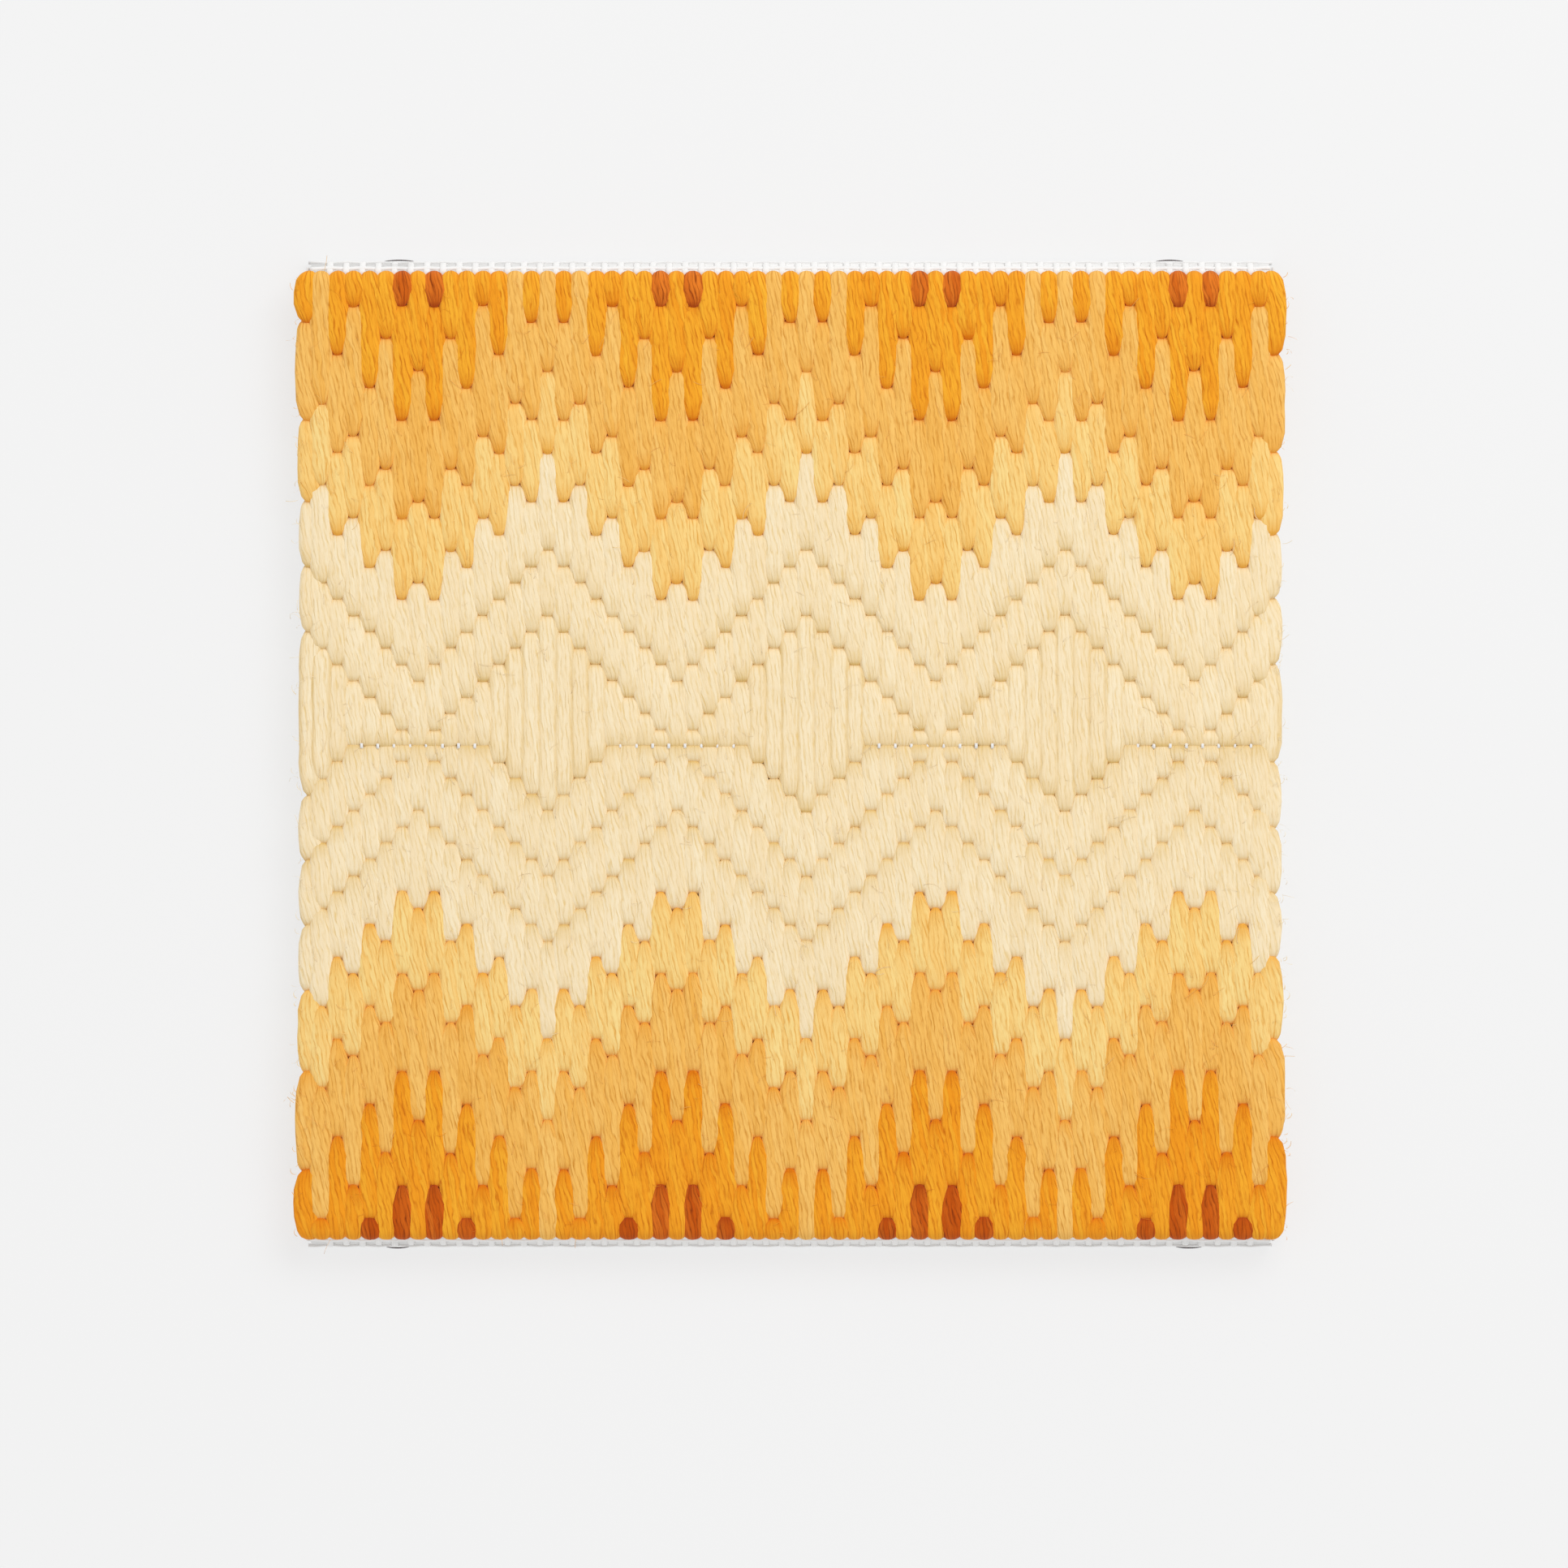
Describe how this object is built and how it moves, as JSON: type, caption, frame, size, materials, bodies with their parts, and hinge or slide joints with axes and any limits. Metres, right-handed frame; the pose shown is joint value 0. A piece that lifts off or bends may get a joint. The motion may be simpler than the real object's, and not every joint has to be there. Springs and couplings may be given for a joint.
{
  "type": "embroidered panel",
  "caption": "Square needlepoint panel of wool zigzag flame stitch on white canvas, its edges folded to the back as a mitred hem.",
  "frame": {"origin": "middle of the panel's back, on the surface that it rests on", "axes": "+X across the panel, +Y up it as it is looked at, +Z out of its worked face"},
  "size_m": [0.129, 0.1294, 0.006],
  "materials": {
    "white_canvas": "stiff single-thread cotton needlepoint canvas",
    "cream_wool": "plump tapestry wool",
    "yellow_wool": "plump tapestry wool",
    "gold_wool": "plump tapestry wool",
    "orange_wool": "plump tapestry wool",
    "rust_wool": "plump tapestry wool",
    "dark_thread": "fine cotton sewing thread"
  },
  "bodies": {
    "root": {"canvas": "white_canvas", "tack_bottom_left": "dark_thread", "tack_bottom_right": "dark_thread", "tack_top_left": "dark_thread", "tack_top_right": "dark_thread", "wool_cream": "cream_wool", "wool_gold_bottom": "gold_wool", "wool_gold_top": "gold_wool", "wool_orange_bottom_01": "orange_wool", "wool_orange_bottom_02": "orange_wool", "wool_orange_bottom_03": "orange_wool", "wool_orange_bottom_04": "orange_wool", "wool_orange_top_01": "orange_wool", "wool_orange_top_02": "orange_wool", "wool_orange_top_03": "orange_wool", "wool_orange_top_04": "orange_wool", "wool_orange_top_05": "orange_wool", "wool_orange_top_06": "orange_wool", "wool_orange_top_07": "orange_wool", "wool_orange_top_08": "orange_wool", "wool_orange_top_09": "orange_wool", "wool_orange_top_10": "orange_wool", "wool_orange_top_11": "orange_wool", "wool_reverse": "cream_wool", "wool_rust_bottom_01": "rust_wool", "wool_rust_bottom_02": "rust_wool", "wool_rust_bottom_03": "rust_wool", "wool_rust_bottom_04": "rust_wool", "wool_rust_bottom_05": "rust_wool", "wool_rust_bottom_06": "rust_wool", "wool_rust_bottom_07": "rust_wool", "wool_rust_bottom_08": "rust_wool", "wool_rust_bottom_09": "rust_wool", "wool_rust_bottom_10": "rust_wool", "wool_rust_bottom_11": "rust_wool", "wool_rust_bottom_12": "rust_wool", "wool_rust_bottom_13": "rust_wool", "wool_rust_bottom_14": "rust_wool", "wool_rust_bottom_15": "rust_wool", "wool_rust_bottom_16": "rust_wool", "wool_rust_top_01": "rust_wool", "wool_rust_top_02": "rust_wool", "wool_rust_top_03": "rust_wool", "wool_rust_top_04": "rust_wool", "wool_rust_top_05": "rust_wool", "wool_rust_top_06": "rust_wool", "wool_rust_top_07": "rust_wool", "wool_rust_top_08": "rust_wool", "wool_yellow_bottom": "yellow_wool", "wool_yellow_top": "yellow_wool"}
  },
  "joints": []
}
